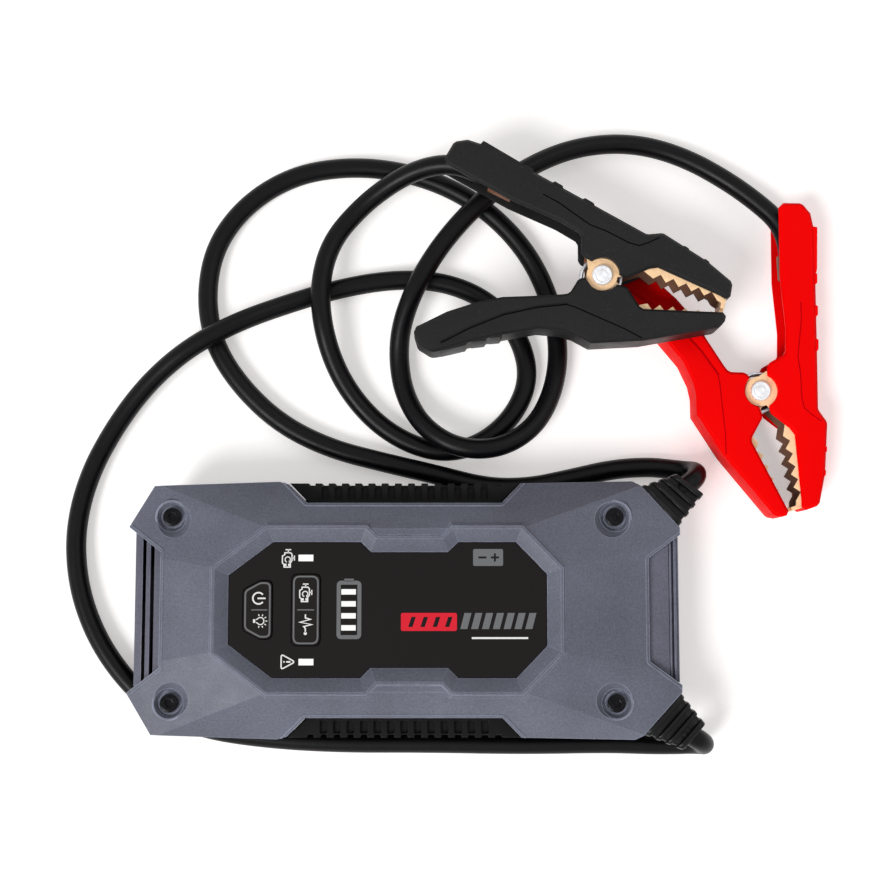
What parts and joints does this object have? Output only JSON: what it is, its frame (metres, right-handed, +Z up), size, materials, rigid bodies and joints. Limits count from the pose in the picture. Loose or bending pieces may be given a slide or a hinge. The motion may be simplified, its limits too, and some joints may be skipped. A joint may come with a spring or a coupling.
{
  "type": "jump starter pack",
  "caption": "Flat rugged jump starter pack with a sunk control panel and heavy cords that end in a red and a black battery clamp",
  "frame": {"origin": "middle of the case, on the plane that its feet rest on", "axes": "+X along the case towards the cord end, +Y to its rear side, +Z up out of the control panel"},
  "size_m": [0.341, 0.282, 0.0446],
  "materials": {
    "slate_plastic": "fine-grained moulded slate blue-grey",
    "black_plastic": "fine-grained black",
    "black_rubber": "matte black",
    "panel_plastic": "dark satin panel",
    "key_plastic": "dark satin key",
    "window_plastic": "translucent white light bar",
    "screw_steel": "blackened steel",
    "spring_steel": "bright spring steel",
    "rivet_steel": "plated steel",
    "cell_foil": "laminated foil pouch",
    "sink_aluminium": "bare aluminium",
    "link_nickel": "nickel strip",
    "board_green": "green circuit board",
    "chip_black": "black moulded packages",
    "led_white": "small lamps",
    "socket_steel": "pressed steel shells",
    "clear_plastic": "clear lens",
    "mirror_plastic": "metallised reflector",
    "red_plastic": "fine-grained red",
    "copper_plate": "copper-plated steel",
    "cord_black": "soft black jacket",
    "lead_red": "red jacket",
    "lug_copper": "tinned copper lugs"
  },
  "bodies": {
    "case": {"top_cover": "slate_plastic", "bottom_shell": "black_plastic", "case_seal": "black_rubber", "rubber_feet": "black_rubber", "cover_screws": "screw_steel", "rear_grip": "black_plastic", "front_grip": "black_plastic", "end_louvre": "slate_plastic", "end_panel": "slate_plastic", "label_panel": "panel_plastic", "status_windows": "window_plastic", "gauge_windows": "window_plastic", "battery_cells": "cell_foil", "cell_links": "link_nickel", "battery_tray": "black_plastic", "main_board": "board_green", "board_screws": "screw_steel", "tact_switches": "chip_black", "board_leds": "led_white", "board_chips": "chip_black", "heat_sink": "sink_aluminium", "port_board": "board_green", "usb_sockets": "socket_steel", "door_pin": "spring_steel", "light_lens": "clear_plastic", "light_reflector": "mirror_plastic", "light_board": "board_green", "lead_lugs": "lug_copper", "positive_strain_relief": "black_rubber", "positive_cord": "cord_black", "positive_lead": "lead_red", "positive_cable_handle": "red_plastic", "positive_cable_jaw": "copper_plate", "positive_pivot_rivet": "rivet_steel", "positive_spring": "spring_steel", "positive_cable_crimp": "lug_copper", "negative_strain_relief": "black_rubber", "negative_cord": "cord_black", "negative_lead": "cord_black", "negative_cable_handle": "black_plastic", "negative_cable_jaw": "copper_plate", "negative_pivot_rivet": "rivet_steel", "negative_spring": "spring_steel", "negative_cable_crimp": "lug_copper"},
    "positive_free_half": {"positive_free_handle": "red_plastic", "positive_free_jaw": "copper_plate"},
    "negative_free_half": {"negative_free_handle": "black_plastic", "negative_free_jaw": "copper_plate"},
    "power_key": {"power_button": "key_plastic"},
    "boost_key": {"boost_button": "key_plastic"},
    "socket_door": {"port_door": "black_plastic"}
  },
  "joints": [
    {"name": "positive_clamp_pivot", "type": "hinge", "parent": "case", "child": "positive_free_half", "pos_m": [0.1584, 0.0968, 0.01], "axis": [0, 0, -1], "range_deg": [0, 24], "stiffness_Nm_per_rad": 3, "springref_deg": -28.65, "deforming": ["positive_spring"]},
    {"name": "negative_clamp_pivot", "type": "hinge", "parent": "case", "child": "negative_free_half", "pos_m": [0.086, 0.1451, 0.0303], "axis": [0, 0, -1], "range_deg": [0, 24], "stiffness_Nm_per_rad": 3, "springref_deg": -28.65, "deforming": ["negative_spring"]},
    {"name": "power_button_press", "type": "slide", "parent": "case", "child": "power_key", "axis": [0, 0, -1], "range_m": [0, 0.0005], "stiffness_N_per_m": 1500},
    {"name": "boost_button_press", "type": "slide", "parent": "case", "child": "boost_key", "axis": [0, 0, -1], "range_m": [0, 0.0005], "stiffness_N_per_m": 1500},
    {"name": "port_door_hinge", "type": "hinge", "parent": "case", "child": "socket_door", "pos_m": [0.1164, 0, 0.0054], "axis": [0, 1, 0], "range_deg": [0, 90]}
  ]
}
